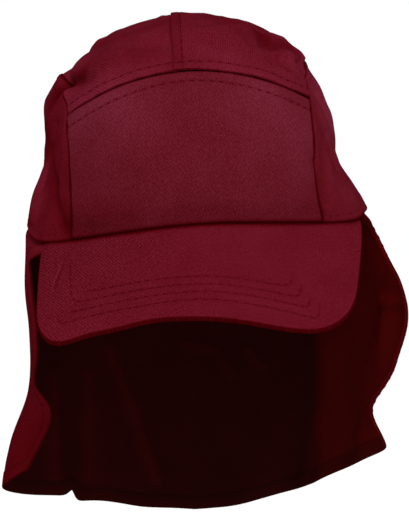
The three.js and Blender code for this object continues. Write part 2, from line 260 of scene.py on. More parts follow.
# The four rows of stitches on the peak, counted from its edge: how far in each one
# lies, and how far it turns up along the sides. On the left they lie further in.
PEAK_ROW_INSETS = np.array([13, 19, 24.7, 30.6]) * MM
PEAK_ROW_TURNS = {"left": np.array([8, 2, 36, 1]) * MM, "right": 11 * MM}
PEAK_ROW_SLANT = {"x": -88 * MM, "spread": 60 * MM, "extra": 17 * MM}
PEAK_ROW_SIDES = {"left": -85.2 * MM, "right": 70.2 * MM}
PEAK_ROW_NARROWING = {"left": 1.65, "right": 1.5}

HEM_WIDTH = 8 * MM
HEM_RELIEF = 0.45 * MM
STITCH_PITCH = 5.4 * MM
STITCH_LENGTH = 3.8 * MM
STITCH_RADIUS = 0.27 * MM
STITCH_GROOVE = 0.4 * MM
STITCH_GROOVE_SPREAD = 0.8 * MM

# Helpers

TINY = 1e-9
BISECTION_STEPS = 40
POINTS_AT_ONCE = 4000
LONG_LINE = 60

# Lumps add up this many waves, whose lengths are random shares of their size.
LUMP_WAVES = 14
LUMP_SIZES = (0.7, 1.7)


def stack(x, y, z):
    return np.stack(np.broadcast_arrays(x, y, z), axis=-1)


def unit(vectors):
    return vectors / np.linalg.norm(vectors, axis=-1, keepdims=True)


def lerp(a, b, share):
    return a + (b - a) * share


def bell(distance, spread):
    return np.exp(-((distance / spread) ** 2))


def smoothstep(value, low, high):
    share = np.clip((value - low) / (high - low), 0, 1)
    return share * share * (3 - 2 * share)


def through(values, share):
    """A smooth line through evenly spaced values, at shares 0 to 1 of its length."""
    values = np.asarray(values, float)
    place = share * (len(values) - 1)
    start = np.minimum(np.floor(place).astype(int), len(values) - 2)

    def value(step):
        return values[np.clip(start + step, 0, len(values) - 1)]

    def slope(step):
        return (value(step + 1) - value(step - 1)) / 2

    t = place - start
    rise = value(1) - value(0)
    cubic = slope(0) + slope(1) - 2 * rise
    square = 3 * rise - 2 * slope(0) - slope(1)
    return value(0) + t * (slope(0) + t * (square + t * cubic))


def nearest(points, line):
    """Distance from each point to a polyline, and how far along it the nearest place is.
    Of a long line every third place is used."""
    flat = points.reshape(-1, 3)
    if len(line) > LONG_LINE:
        line = np.concatenate([line[:-1:3], line[-1:]])
    start = line[:-1]
    step = np.diff(line, axis=0)
    length = np.linalg.norm(step, axis=1)
    before = np.concatenate([[0], np.cumsum(length)[:-1]])
    distance = np.empty(len(flat))
    along = np.empty(len(flat))
    for first in range(0, len(flat), POINTS_AT_ONCE):
        part = slice(first, first + POINTS_AT_ONCE)
        offset = flat[part, None] - start[None]
        share = np.clip((offset * step).sum(-1) / length**2, 0, 1)
        gap = np.linalg.norm(offset - share[..., None] * step, axis=-1)
        best = gap.argmin(1)
        rows = np.arange(len(best))
        distance[part] = gap[rows, best]
        along[part] = before[best] + share[rows, best] * length[best]
    return distance.reshape(points.shape[:-1]), along.reshape(points.shape[:-1])


def lumps(points, size, seed):
    """Smooth noise of about unit height, with bumps about a size apart."""
    random = np.random.default_rng(seed)
    total = np.zeros(points.shape[:-1])
    for _ in range(LUMP_WAVES):
        way = unit(random.normal(size=3))
        length = size * random.uniform(*LUMP_SIZES)
        total += np.sin(points @ way * (2 * math.pi / length) + random.uniform(0, 2 * math.pi))
    return total / math.sqrt(LUMP_WAVES / 2)


# The dome that the crown's cloth follows


def plan_share(p):
    x, y = p[..., 0], p[..., 1]
    reach = np.where(y < 0, CROWN_FRONT_REACH, CROWN_BACK_REACH)
    return (
        np.abs(x / (CROWN_WIDTH / 2)) ** PLAN_FULLNESS + np.abs(y / reach) ** PLAN_FULLNESS
    )


def dome_share(p):
    rise = np.abs(p[..., 2]) / CROWN_HEIGHT
    return plan_share(p) ** (DOME_FULLNESS / PLAN_FULLNESS) + rise**DOME_FULLNESS


def onto_dome(p):
    return p * (dome_share(p) ** (-1 / DOME_FULLNESS))[..., None]


def dome_normal(p):
    x, y, z = p[..., 0], p[..., 1], p[..., 2]
    reach = np.where(y < 0, CROWN_FRONT_REACH, CROWN_BACK_REACH)
    plan = np.maximum(plan_share(p), TINY) ** (DOME_FULLNESS / PLAN_FULLNESS - 1)

    def slope(length, end, power):
        return np.sign(length) * (np.abs(length) / end) ** (power - 1) / end

    return unit(
        stack(
            plan * slope(x, CROWN_WIDTH / 2, PLAN_FULLNESS),
            plan * slope(y, reach, PLAN_FULLNESS),
            slope(z, CROWN_HEIGHT, DOME_FULLNESS),
        )
    )


def dome_at(azimuth, height):
    """The place on the dome at an azimuth and a height."""
    turn = np.radians(azimuth)
    way = stack(np.sin(turn), -np.cos(turn), np.zeros_like(turn))
    level = (1 - (np.abs(height) / CROWN_HEIGHT) ** DOME_FULLNESS) ** (1 / DOME_FULLNESS)
    reach = level * plan_share(way) ** (-1 / PLAN_FULLNESS)
    return way * reach[..., None] + stack(0, 0, height)


def dome_across(x, turn):
    """The place on the dome at x, on the ray that turns from the front (0) over the
    top (90) to the back (180)."""
    x, turn = np.broadcast_arrays(np.asarray(x, float), np.radians(turn))

    def at(reach):
        return stack(x, -np.cos(turn) * reach, np.sin(turn) * reach)

    low = np.zeros(x.shape)
    high = np.full(x.shape, CROWN_HEIGHT + CROWN_FRONT_REACH + CROWN_BACK_REACH)
    for _ in range(BISECTION_STEPS):
        middle = (low + high) / 2
        outside = dome_share(at(middle)) > 1
        high = np.where(outside, middle, high)
        low = np.where(outside, low, middle)
    return at((low + high) / 2)


def turn_of(p):
    return np.degrees(np.arctan2(p[..., 2], -p[..., 1]))


def azimuth_of(p):
    return np.degrees(np.arctan2(p[..., 0], -p[..., 1]))


def rim_height(azimuth):
    off = np.abs((azimuth + 180) % 360 - 180) / PEAK_SPAN_ANGLE
    return RIM_LIFT * np.cos(np.minimum(off, 1) * math.pi / 2) ** 2


def on_rim(azimuth):
    azimuth = np.asarray(azimuth, float)
    return dome_at(azimuth, rim_height(azimuth))


def side_lift(azimuth):
    """The crown's lower edge is drawn up a little behind the peak's left corner."""
    off = (azimuth - SIDE_LIFT_AZIMUTH + 180) % 360 - 180
    return SIDE_LIFT * bell(off, SIDE_LIFT_SPREAD)


def crown_rim(azimuth):
    """The lower edge of the crown's cloth, which overlaps the peak's root."""
    off = np.abs((azimuth + 180) % 360 - 180)
    overlap = RIM_OVERLAP * (1 - smoothstep(off, PEAK_SPAN_ANGLE - 8, PEAK_SPAN_ANGLE + 4))
    return dome_at(azimuth, rim_height(azimuth) + side_lift(azimuth) - overlap)


def flare_at(p):
    side = np.abs(azimuth_of(p))
    front = smoothstep(side, PEAK_SPAN_ANGLE - FLARE_FADE_ANGLE, PEAK_SPAN_ANGLE)
    back = 1 - smoothstep(side, 180 - 2 * FLARE_FADE_ANGLE, 180 - FLARE_FADE_ANGLE / 2)
    fall = np.maximum(0, 1 - p[..., 2] / FLARE_HEIGHT) ** FLARE_CURVE
    return RIM_FLARE * front * back * fall


def from_line(p, places):
    """Distance to a line on the dome through azimuths and shares of its height."""
    azimuths, shares = np.array(places, float).T
    return nearest(p, dome_at(azimuths, shares * CROWN_HEIGHT))[0]


def folds_at(p, folds, unit_length):
    """How far the folds of a table in that unit stand out at places on the dome."""
    return sum(
        relief * unit_length * bell(from_line(p, (start, end)), spread * unit_length)
        for start, end, spread, relief in folds
    )


def shade_and_wear_at(p):
    """Painted shade, painted light and wear at places on the dome, as a factor of the colour."""
    tone = np.ones(p.shape[:-1])
    for places, spread, change in CROWN_SHADES_AND_WEAR:
        tone *= 1 + change * bell(from_line(p, places), spread * MM)
    return tone


def cloth(p, depth=0.0):
    """The outside of the cloth at places on the dome, or a depth below it."""
    flat = p * np.array([1, 1, 0])
    outward = unit(flat + np.array([0, TINY, 0]))
    return (
        p
        + outward * flare_at(p)[..., None]
        + dome_normal(p) * (folds_at(p, CROWN_FOLDS, CROWN_WIDTH) - depth)[..., None]
    )


# Seams, as curves on the dome

SIDE_SEAM_X = FRONT_PANEL_WIDTH / 2


def arch_height(x):
    return RIM_LIFT + FRONT_PANEL_HEIGHT - ARCH_DROP * (x / SIDE_SEAM_X) ** 2


def on_arch(x, up):
    """The arch seam at x, moved up over the dome by a distance."""
    x = np.asarray(x, float)
    z = arch_height(x)
    plan = (1 - (z / CROWN_HEIGHT) ** DOME_FULLNESS) ** (PLAN_FULLNESS / DOME_FULLNESS)
    along = plan - np.abs(x / (CROWN_WIDTH / 2)) ** PLAN_FULLNESS
    y = -CROWN_FRONT_REACH * along ** (1 / PLAN_FULLNESS)
    turn = np.degrees(np.arctan2(z, -y))
    return dome_across(x, turn + np.degrees(up / np.hypot(y, z)))


def seam_corner_azimuth(x):
    low, high = 0.0, 90.0
    for _ in range(BISECTION_STEPS):
        middle = (low + high) / 2
        if on_rim(middle)[0] < x:
            low = middle
        else:
            high = middle
    return (low + high) / 2


# Grids and shells

FEWEST_STEPS = 8
SHARP_ANGLE = 60
# Painted shade along rows of stitches and along the crown's rim seam, by depth and width.
ROW_SHADE = {"depth": 0.14, "width": 0.7 * MM}
RIM_SHADE = {"depth": 0.5, "width": 1.2 * MM}
# Painted shade and light on folds: the relief that changes the shade by one, and its bounds.
FOLD_SHADE_RELIEF = 22 * MM
FOLD_SHADES = (0.72, 1.1)


def spaced(length):
    """Shares 0 to 1 about a grid step apart, with extra ones close to both ends."""
    near = FINE_BORDER / length
    count = max(FEWEST_STEPS, round((length - 2 * FINE_BORDER[-1]) / GRID_STEP))
    inside = np.linspace(near[-1], 1 - near[-1], count)
    return np.concatenate([near[:-1], inside, 1 - near[-2::-1]])


def dome_patch(u, v, low, high, left, right):
    """Blends four edge curves, each a function of shares, and lays the result on the
    dome. Low and high run in u; left and right run in v."""
    across, up = u[None, :, None], v[:, None, None]
    ends = np.array([0.0, 1.0])
    low_ends, high_ends = low(ends), high(ends)
    corners = lerp(lerp(low_ends[0], high_ends[0], up), lerp(low_ends[1], high_ends[1], up), across)
    blend = lerp(low(u)[None], high(u)[None], up) + lerp(left(v)[:, None], right(v)[:, None], across)
    return onto_dome(blend - corners)


def normals_of(grid):
    """Outward normals of a grid whose columns run to the right seen from outside."""
    along = np.gradient(grid, axis=1)
    up = np.gradient(grid, axis=0)
    return unit(np.cross(along, up))


def measure(grid):
    """Cloth coordinates in metres: the way along its row and its column from the
    middle of the grid."""

    def way(axis):
        steps = np.linalg.norm(np.diff(grid, axis=axis, prepend=grid.take([0], axis)), axis=-1)
        travelled = np.cumsum(steps, axis=axis)
        return travelled - travelled.take([grid.shape[axis] // 2], axis)

    return np.stack([way(1), way(0)], axis=-1)


def add_mesh(name, vertices, faces, uv, materials, face_materials, shade=None):
    mesh = bpy.data.meshes.new(name)
    mesh.from_pydata(vertices, [], faces)
    layer = mesh.uv_layers.new(name="cloth")
    index = np.empty(len(mesh.loops), np.int32)
    mesh.loops.foreach_get("vertex_index", index)
    layer.data.foreach_set("uv", np.asarray(uv, np.float32)[index].ravel())
    values = np.ones(len(vertices)) if shade is None else shade
    attribute = mesh.attributes.new("shade", "FLOAT", "POINT")
    attribute.data.foreach_set("value", np.asarray(values, np.float32))
    for material in materials:
        mesh.materials.append(material)
    mesh.polygons.foreach_set("material_index", np.asarray(face_materials, np.int32))
    mesh.shade_smooth()
    mesh.set_sharp_from_angle(angle=math.radians(SHARP_ANGLE))
    mesh.update()
    piece = bpy.data.objects.new(name, mesh)
    bpy.context.scene.collection.objects.link(piece)
    return piece


def shell(name, outer, inner, uv, materials, outer_shade, inner_shade):
    """A closed shell between two grids. The materials are for its outside, its inside
    and its edges. Each side has a shade, 1 where the cloth has its own colour."""
    rows, columns = outer.shape[:2]
    at = np.arange(2 * rows * columns).reshape(2, rows, columns)

    def quads(a, b, c, d):
        return np.stack([a, b, c, d], axis=-1).reshape(-1, 4)

    out, into = at[0], at[1]
    sides = [
        quads(out[:-1, :-1], out[:-1, 1:], out[1:, 1:], out[1:, :-1]),
        quads(into[:-1, :-1], into[1:, :-1], into[1:, 1:], into[:-1, 1:]),
        quads(into[0, :-1], into[0, 1:], out[0, 1:], out[0, :-1]),
        quads(out[-1, :-1], out[-1, 1:], into[-1, 1:], into[-1, :-1]),
        quads(out[:-1, 0], out[1:, 0], into[1:, 0], into[:-1, 0]),
        quads(into[:-1, -1], into[1:, -1], out[1:, -1], out[:-1, -1]),
    ]
    face_materials = np.concatenate(
        [np.full(len(side), min(place, 2)) for place, side in enumerate(sides)]
    )
    vertices = np.concatenate([outer.reshape(-1, 3), inner.reshape(-1, 3)])
    faces = np.concatenate(sides).tolist()
    shade = np.concatenate([outer_shade.ravel(), inner_shade.ravel()])
    uv = np.tile(uv.reshape(-1, 2), (2, 1))
    return add_mesh(name, vertices.tolist(), faces, uv, materials, face_materials, shade)


def roll(distance, radius=SEAM_ROLL):
    """How far a cloth edge turns down at a distance from its end."""
    inside = np.clip(1 - distance / radius, 0, 1)
    return -radius * (1 - np.sqrt(1 - inside**2))


def groove(distance):
    return -STITCH_GROOVE * bell(distance, STITCH_GROOVE_SPREAD)


def seam_shade(distance, depth=0.6, width=0.9 * MM):
    """Painted shadow that darkens a seam, as a factor of the cloth's colour."""
    return 1 - depth * bell(distance, width)


# Painted shade along a row of stitches.
def row_shade(distance):
    return seam_shade(distance, **ROW_SHADE)


def painted_fold_shade(relief):
    """Painted shade in the valleys of folds and painted light on their ridges."""
    return np.clip(1 + relief / FOLD_SHADE_RELIEF, *FOLD_SHADES)


# Materials

TWILL_ANGLE = -30
TWILL_THREAD_ANGLE = 55
TWILL_PITCH = 1.25 * MM
THREAD_PITCH = 1.25 * MM

# A wave texture of scale 1 repeats after this length.
WAVE_UNIT = 2 * math.pi / 20
WAVE_DISTORTION = 2.6
WAVE_DETAIL_SCALE = 1.6
FUZZ_SIZE = 0.8 * MM
FUZZ_STRETCH = 1.8

# How much ribs, threads and fuzz add to the height of the weave, and the height at
# which the cloth has its own colour.
RIB_HEIGHT = 0.28
THREAD_HEIGHT = 0.16
FUZZ_HEIGHT = 1.2
MEAN_HEIGHT = 0.82

# Uneven dye over broad places and along slubs, and how much each changes the tone.
BROAD_SIZE = 22 * MM
BROAD_TONE = 0.3
SLUB_SIZE = 2.5 * MM
SLUB_STRETCH = 3.0
SLUB_TONE = 0.2

BUMP_STRENGTH = 0.45
BUMP_DEPTH = 0.22 * MM
WEAVE = 0.8
DEEPENING = 2.6
RIGHT_TOP_TURN = 30


def cloth_material(name, colour, weave=WEAVE, turn=0, deepening=DEEPENING):
    """Cotton twill: diagonal ribs of uneven threads, slubs and uneven dye. Where it is
    darker its green and blue fall off faster than its red, by the power deepening."""
    material = bpy.data.materials.new(name)
    material.use_nodes = True
    tree = material.node_tree
    nodes, link = tree.nodes, tree.links.new
    shader = nodes["Principled BSDF"]
    shader.inputs["Specular IOR Level"].default_value = 0

    place = nodes.new("ShaderNodeUVMap")
    place.uv_map = "cloth"

    def mapped(angle=0.0, stretch=1.0):
        mapping = nodes.new("ShaderNodeMapping")
        mapping.inputs["Rotation"].default_value = (0, 0, math.radians(angle))
        mapping.inputs["Scale"].default_value = (1, 1 / stretch, 1)
        link(place.outputs["UV"], mapping.inputs["Vector"])
        return mapping.outputs["Vector"]

    def waves(angle, length):
        wave = nodes.new("ShaderNodeTexWave")
        wave.inputs["Scale"].default_value = WAVE_UNIT / length
        wave.inputs["Distortion"].default_value = WAVE_DISTORTION
        wave.inputs["Detail"].default_value = 1
        wave.inputs["Detail Scale"].default_value = WAVE_DETAIL_SCALE
        link(mapped(angle), wave.inputs["Vector"])
        return wave.outputs["Fac"]

    def noise(size, detail, angle=0.0, stretch=1.0):
        texture = nodes.new("ShaderNodeTexNoise")
        texture.inputs["Scale"].default_value = 1 / size
        texture.inputs["Detail"].default_value = detail
        link(mapped(angle, stretch), texture.inputs["Vector"])
        return texture.outputs["Fac"]

    def maths(kind, a, b):
        node = nodes.new("ShaderNodeMath")
        node.operation = kind
        for socket, value in zip(node.inputs, (a, b)):
            if isinstance(value, float):
                socket.default_value = value
            else:
                link(value, socket)
        return node.outputs["Value"]

    ribs = waves(TWILL_ANGLE + turn, TWILL_PITCH)
    threads = waves(TWILL_THREAD_ANGLE + turn, THREAD_PITCH)
    fuzz = noise(FUZZ_SIZE, 2, TWILL_ANGLE + turn, FUZZ_STRETCH)
    ribs = maths("MULTIPLY", ribs, RIB_HEIGHT)
    height = maths("ADD", ribs, maths("MULTIPLY", threads, THREAD_HEIGHT))
    height = maths("ADD", height, maths("MULTIPLY", fuzz, FUZZ_HEIGHT))

    broad = noise(BROAD_SIZE, 3)
    slub = noise(SLUB_SIZE, 2, stretch=SLUB_STRETCH)
    shade = maths("MULTIPLY", maths("SUBTRACT", height, MEAN_HEIGHT), weave)
    shade = maths("ADD", shade, maths("MULTIPLY", maths("SUBTRACT", broad, 0.5), BROAD_TONE))
    shade = maths("ADD", shade, maths("MULTIPLY", maths("SUBTRACT", slub, 0.5), SLUB_TONE))
    shade = maths("ADD", shade, 1.0)
    # The shade attribute: painted light and shade, with the crown's wear.
    kept = nodes.new("ShaderNodeAttribute")
    kept.attribute_name = "shade"
    shade = maths("MULTIPLY", shade, kept.outputs["Fac"])

    tint = nodes.new("ShaderNodeMix")
    tint.data_type = "RGBA"
    tint.blend_type = "MULTIPLY"
    tint.inputs["Factor"].default_value = 1
    tint.inputs["A"].default_value = (*colour, 1)
    strength = nodes.new("ShaderNodeCombineColor")
    link(shade, strength.inputs["Red"])
    for channel in ("Green", "Blue"):
        link(maths("POWER", shade, deepening), strength.inputs[channel])
    link(strength.outputs["Color"], tint.inputs["B"])
    link(tint.outputs["Result"], shader.inputs["Base Color"])

    rough = maths("ADD", maths("MULTIPLY", height, -0.12), 0.95)
    link(rough, shader.inputs["Roughness"])
    bump = nodes.new("ShaderNodeBump")
    bump.inputs["Strength"].default_value = BUMP_STRENGTH
    bump.inputs["Distance"].default_value = BUMP_DEPTH
    link(height, bump.inputs["Height"])
    link(bump.outputs["Normal"], shader.inputs["Normal"])
    return material


CROWN_RED = (0.089, 0.0058, 0.0116)
TOP_RED = (0.098, 0.0052, 0.0119)
PEAK_RED = (0.093, 0.0044, 0.0102)
# The sides' reds are shaded and lit copies of one red: the left one painted darker and the right one
# paler, for how the light falls on them.
SHADED_LEFT_SIDE_RED = (0.083, 0.0028, 0.0064)
LIT_RIGHT_SIDE_RED = (0.088, 0.0045, 0.0092)
FLAP_RED = (0.082, 0.0026, 0.0054)
# The insides' red is painted dark: painted shade inside the crown and the flap.
REVERSE_SHADOW_RED = (0.0198, 0.0021, 0.002)
THREAD_RED = (0.068, 0.0012, 0.004)

crown_cloth = cloth_material("crown_cloth", CROWN_RED)
left_top_cloth = cloth_material("left_top_cloth", TOP_RED)
right_top_cloth = cloth_material("right_top_cloth", TOP_RED, turn=RIGHT_TOP_TURN)
shaded_left_side_cloth = cloth_material("shaded_left_side_cloth", SHADED_LEFT_SIDE_RED)
lit_right_side_cloth = cloth_material("lit_right_side_cloth", LIT_RIGHT_SIDE_RED)
peak_cloth = cloth_material("peak_cloth", PEAK_RED, weave=1.1)
flap_cloth = cloth_material("flap_cloth", FLAP_RED, weave=0.5)
reverse_shadow_cloth = cloth_material("reverse_shadow_cloth", REVERSE_SHADOW_RED, weave=0.5, deepening=0.1)
seam_thread = cloth_material("seam_thread", THREAD_RED)
rim_thread = cloth_material("rim_thread", SHADED_LEFT_SIDE_RED)


# Stitches

CONTOUR_STEP = 0.4 * MM

# A stitch rises and sinks by these shares of its radius, and is flatter than wide.
STITCH_RISE = 1.5
STITCH_SINK = 0.9
STITCH_FLATNESS = 0.8

# Stitches stop this far from a seam that their row meets.
STITCH_CLEARANCE = 1.5 * MM


def contour(grid, normals, field, value, order, keep):
    """The line on a grid where a field has a value, with its normals. It joins the
    crossings with the grid's lines, sorted by order, at the places to keep."""
    places, ways, ranks = [], [], []
    over = field - value
    for axis in (0, 1):
        first = tuple(slice(None, -1) if k == axis else slice(None) for k in (0, 1))
        second = tuple(slice(1, None) if k == axis else slice(None) for k in (0, 1))
        crossed = (over[first] * over[second] < 0) & keep[first]
        before, after = over[first][crossed], over[second][crossed]
        share = before / (before - after)
        places.append(lerp(grid[first][crossed], grid[second][crossed], share[:, None]))
        ways.append(lerp(normals[first][crossed], normals[second][crossed], share[:, None]))
        ranks.append(lerp(order[first][crossed], order[second][crossed], share))
    sort = np.argsort(np.concatenate(ranks))
    places, ways = np.concatenate(places)[sort], unit(np.concatenate(ways)[sort])
    kept = [0]
    for index in range(1, len(places)):
        if np.linalg.norm(places[index] - places[kept[-1]]) > CONTOUR_STEP:
            kept.append(index)
    return places[kept], ways[kept]


def stitch_row(line, ways):
    """Vertices and faces of a row of stitches: short threads that rise from the cloth
    and dip back into it."""
    sides, rings = 6, 6
    steps = np.linalg.norm(np.diff(line, axis=0), axis=1)
    travelled = np.concatenate([[0], np.cumsum(steps)])

    def sample(values, place):
        return np.stack([np.interp(place, travelled, values[:, k]) for k in range(3)], axis=-1)

    vertices, faces = [], []
    for start in np.arange(STITCH_PITCH / 2, travelled[-1] - STITCH_LENGTH, STITCH_PITCH):
        share = np.linspace(0, 1, rings)
        place = start + share * STITCH_LENGTH
        centre, way = sample(line, place), unit(sample(ways, place))
        rise = STITCH_RADIUS * (STITCH_RISE * np.sin(share * math.pi) - STITCH_SINK)
        centre = centre + way * rise[:, None]
        forward = unit(np.gradient(centre, axis=0))
        side = unit(np.cross(forward, way))
        up = np.cross(side, forward)
        radius = STITCH_RADIUS * np.sqrt(np.clip(1.05 - (2 * share - 1) ** 4, 0.1, 1))
        first = len(vertices)
        for ring in range(rings):
            for turn in np.arange(sides) * 2 * math.pi / sides:
                around = side[ring] * math.cos(turn) + up[ring] * math.sin(turn) * STITCH_FLATNESS
                vertices.append(centre[ring] + around * radius[ring])
        for ring in range(rings - 1):
            for k in range(sides):
                a = first + ring * sides + k
                b = first + ring * sides + (k + 1) % sides
                faces.append((a, b, b + sides, a + sides))
        faces.append(tuple(first + k for k in reversed(range(sides))))
        faces.append(tuple(first + (rings - 1) * sides + k for k in range(sides)))
    return vertices, faces


def stitches(name, rows, thread=seam_thread):
    """One mesh with all the rows of stitches, each a line with its normals."""
    vertices, faces = [], []
    for line, ways in rows:
        more_vertices, more_faces = stitch_row(line, ways)
        faces += [tuple(k + len(vertices) for k in face) for face in more_faces]
        vertices += more_vertices
    vertices = np.array(vertices)
    uv = vertices[:, [0, 2]]
    piece = add_mesh(name, vertices.tolist(), faces, uv, [thread], np.zeros(len(faces)))
    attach(piece, "root")


# The crown

# About how long the panels are. This only sets how their grids are spaced.
TOP_LENGTH = 205 * MM
SIDE_WIDTH = 150 * MM
SIDE_HEIGHT = 95 * MM

RIM_ROLL = 1.2 * MM
FRONT_RIM_ROLL = 1.4 * MM
FRONT_STEP = 1.2 * MM
FRONT_DIP = 1.2 * MM
PUCKER_PITCH = 2.7 * MM
PUCKER_HEIGHT = 0.05 * MM
RIGHT_GATHER_PITCH = 1.9 * MM
RIGHT_GATHER_HEIGHT = 0.09 * MM
LEFT_GATHER_PITCH = 3.1 * MM
LEFT_GATHER_HEIGHT = 0.06 * MM
FRONT_PAD_HEIGHT = 0.25 * MM
FRONT_PAD_SPREAD = 2.4 * MM
# Painted shadow under the top's overhanging edge.
UNDER_LAP_SHADOW = 0.7
LAP_SWELL = {"x": -12 * MM, "spread": 24 * MM, "height": 0.9 * MM}
CENTRE_LAP_RELIEF = 0.3 * MM
CENTRE_LAP_ROOM = 0.6 * MM
CENTRE_LAP_DARKENING = 0.07


def wrinkles(surface, seed, size, height):
    """Soft unevenness of worn cloth: broad waves and a few sharper creases."""
    broad = lumps(surface, size, seed)
    creases = -np.abs(lumps(surface, size * 0.6, seed + 1))
    return height * (0.6 * broad + 0.5 * (creases + 0.6))


def crown_shell(name, surface, details, relief, shade, material, lap=0.0):
    """A panel of the crown. Lap is 1 where its edge lies on another panel: there the
    inside is lifted with the outside."""
    normals = normals_of(surface)
    outer = surface + normals * relief[..., None]
    outer_normals = normals_of(outer)
    beneath = np.minimum(relief, 0) - CROWN_CLOTH
    beneath = lerp(beneath, relief - LAP_THICKNESS, lap)
    inner = surface + normals * beneath[..., None]
    # Painted shade and light on the folds.
    shade = shade * painted_fold_shade(details)
    # The inside takes the dark inside red, painted shade.
    materials = [material, reverse_shadow_cloth, material]
    inner_shade = np.ones(shade.shape)
    piece = shell(f"{name}_cloth", outer, inner, measure(outer), materials, shade, inner_shade)
    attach(piece, "root")
    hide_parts(name)
    return outer, outer_normals


def border_distances(surface):
    """Distance to the lower, upper, left and right border, and the way along each."""
    borders = (surface[0], surface[-1], surface[:, 0], surface[:, -1])
    return [nearest(surface, border) for border in borders]


def arch_overhang(x):
    """How far the top's edge hangs over the arch seam: furthest in the middle."""
    return ARCH_OVERHANG + ARCH_DROOP * bell(x, ARCH_DROOP_SPREAD)


def front_panel():
    edge = SIDE_SEAM_X
    corner = seam_corner_azimuth(edge)
    low = turn_of(crown_rim(corner))
    high = turn_of(on_arch(edge, ARCH_TUCK))
    dome = dome_patch(
        spaced(FRONT_PANEL_WIDTH),
        spaced(FRONT_PANEL_HEIGHT),
        low=lambda u: crown_rim(lerp(-corner, corner, u)),
        high=lambda u: on_arch(lerp(-edge, edge, u), ARCH_TUCK),
        left=lambda v: dome_across(-edge, lerp(low, high, v)),
        right=lambda v: dome_across(edge, lerp(low, high, v)),
    )
    surface, details = cloth(dome), folds_at(dome, CROWN_DETAILS, MM)
    (below, _), (above, along), (left, _), (right, _) = border_distances(surface)
    from_arch = above - ARCH_TUCK
    from_lap = from_arch - arch_overhang(surface[..., 0])
    sides = np.minimum(left, right)
    row = from_arch - FRONT_ROW_INSET
    relief = details + roll(sides) + roll(below, FRONT_RIM_ROLL)
    pad = bell(from_arch - FRONT_ROW_INSET / 2, FRONT_PAD_SPREAD)
    relief += groove(row) + FRONT_PAD_HEIGHT * pad
    puckers = np.sin(along / PUCKER_PITCH * 2 * math.pi)
    relief += PUCKER_HEIGHT * puckers * bell(row, 2.5 * MM)
    relief -= FRONT_STEP * (1 - smoothstep(from_lap, -1 * MM, 1.6 * MM))
    dip = (1 - smoothstep(below, 1 * MM, 13 * MM)) * smoothstep(sides, 1 * MM, 14 * MM)
    relief += wrinkles(surface, seed=11, size=40 * MM, height=0.35 * MM) - FRONT_DIP * dip
    # Painted shadow along the side seams, above the peak's root, along the stitch row and under the
    # top's overhanging edge, then the crown's painted shade, light and wear.
    shade = seam_shade(sides) * seam_shade(below, depth=0.85, width=1.8 * MM) * row_shade(row)
    shade *= 1 - UNDER_LAP_SHADOW * (1 - smoothstep(from_lap, 0, 1.5 * MM))
    shade *= shade_and_wear_at(dome)
    outer, normals = crown_shell("front_panel", surface, details, relief, shade, crown_cloth)
    keep = sides > STITCH_CLEARANCE
    return [contour(outer, normals, from_arch, FRONT_ROW_INSET, outer[..., 0], keep)]


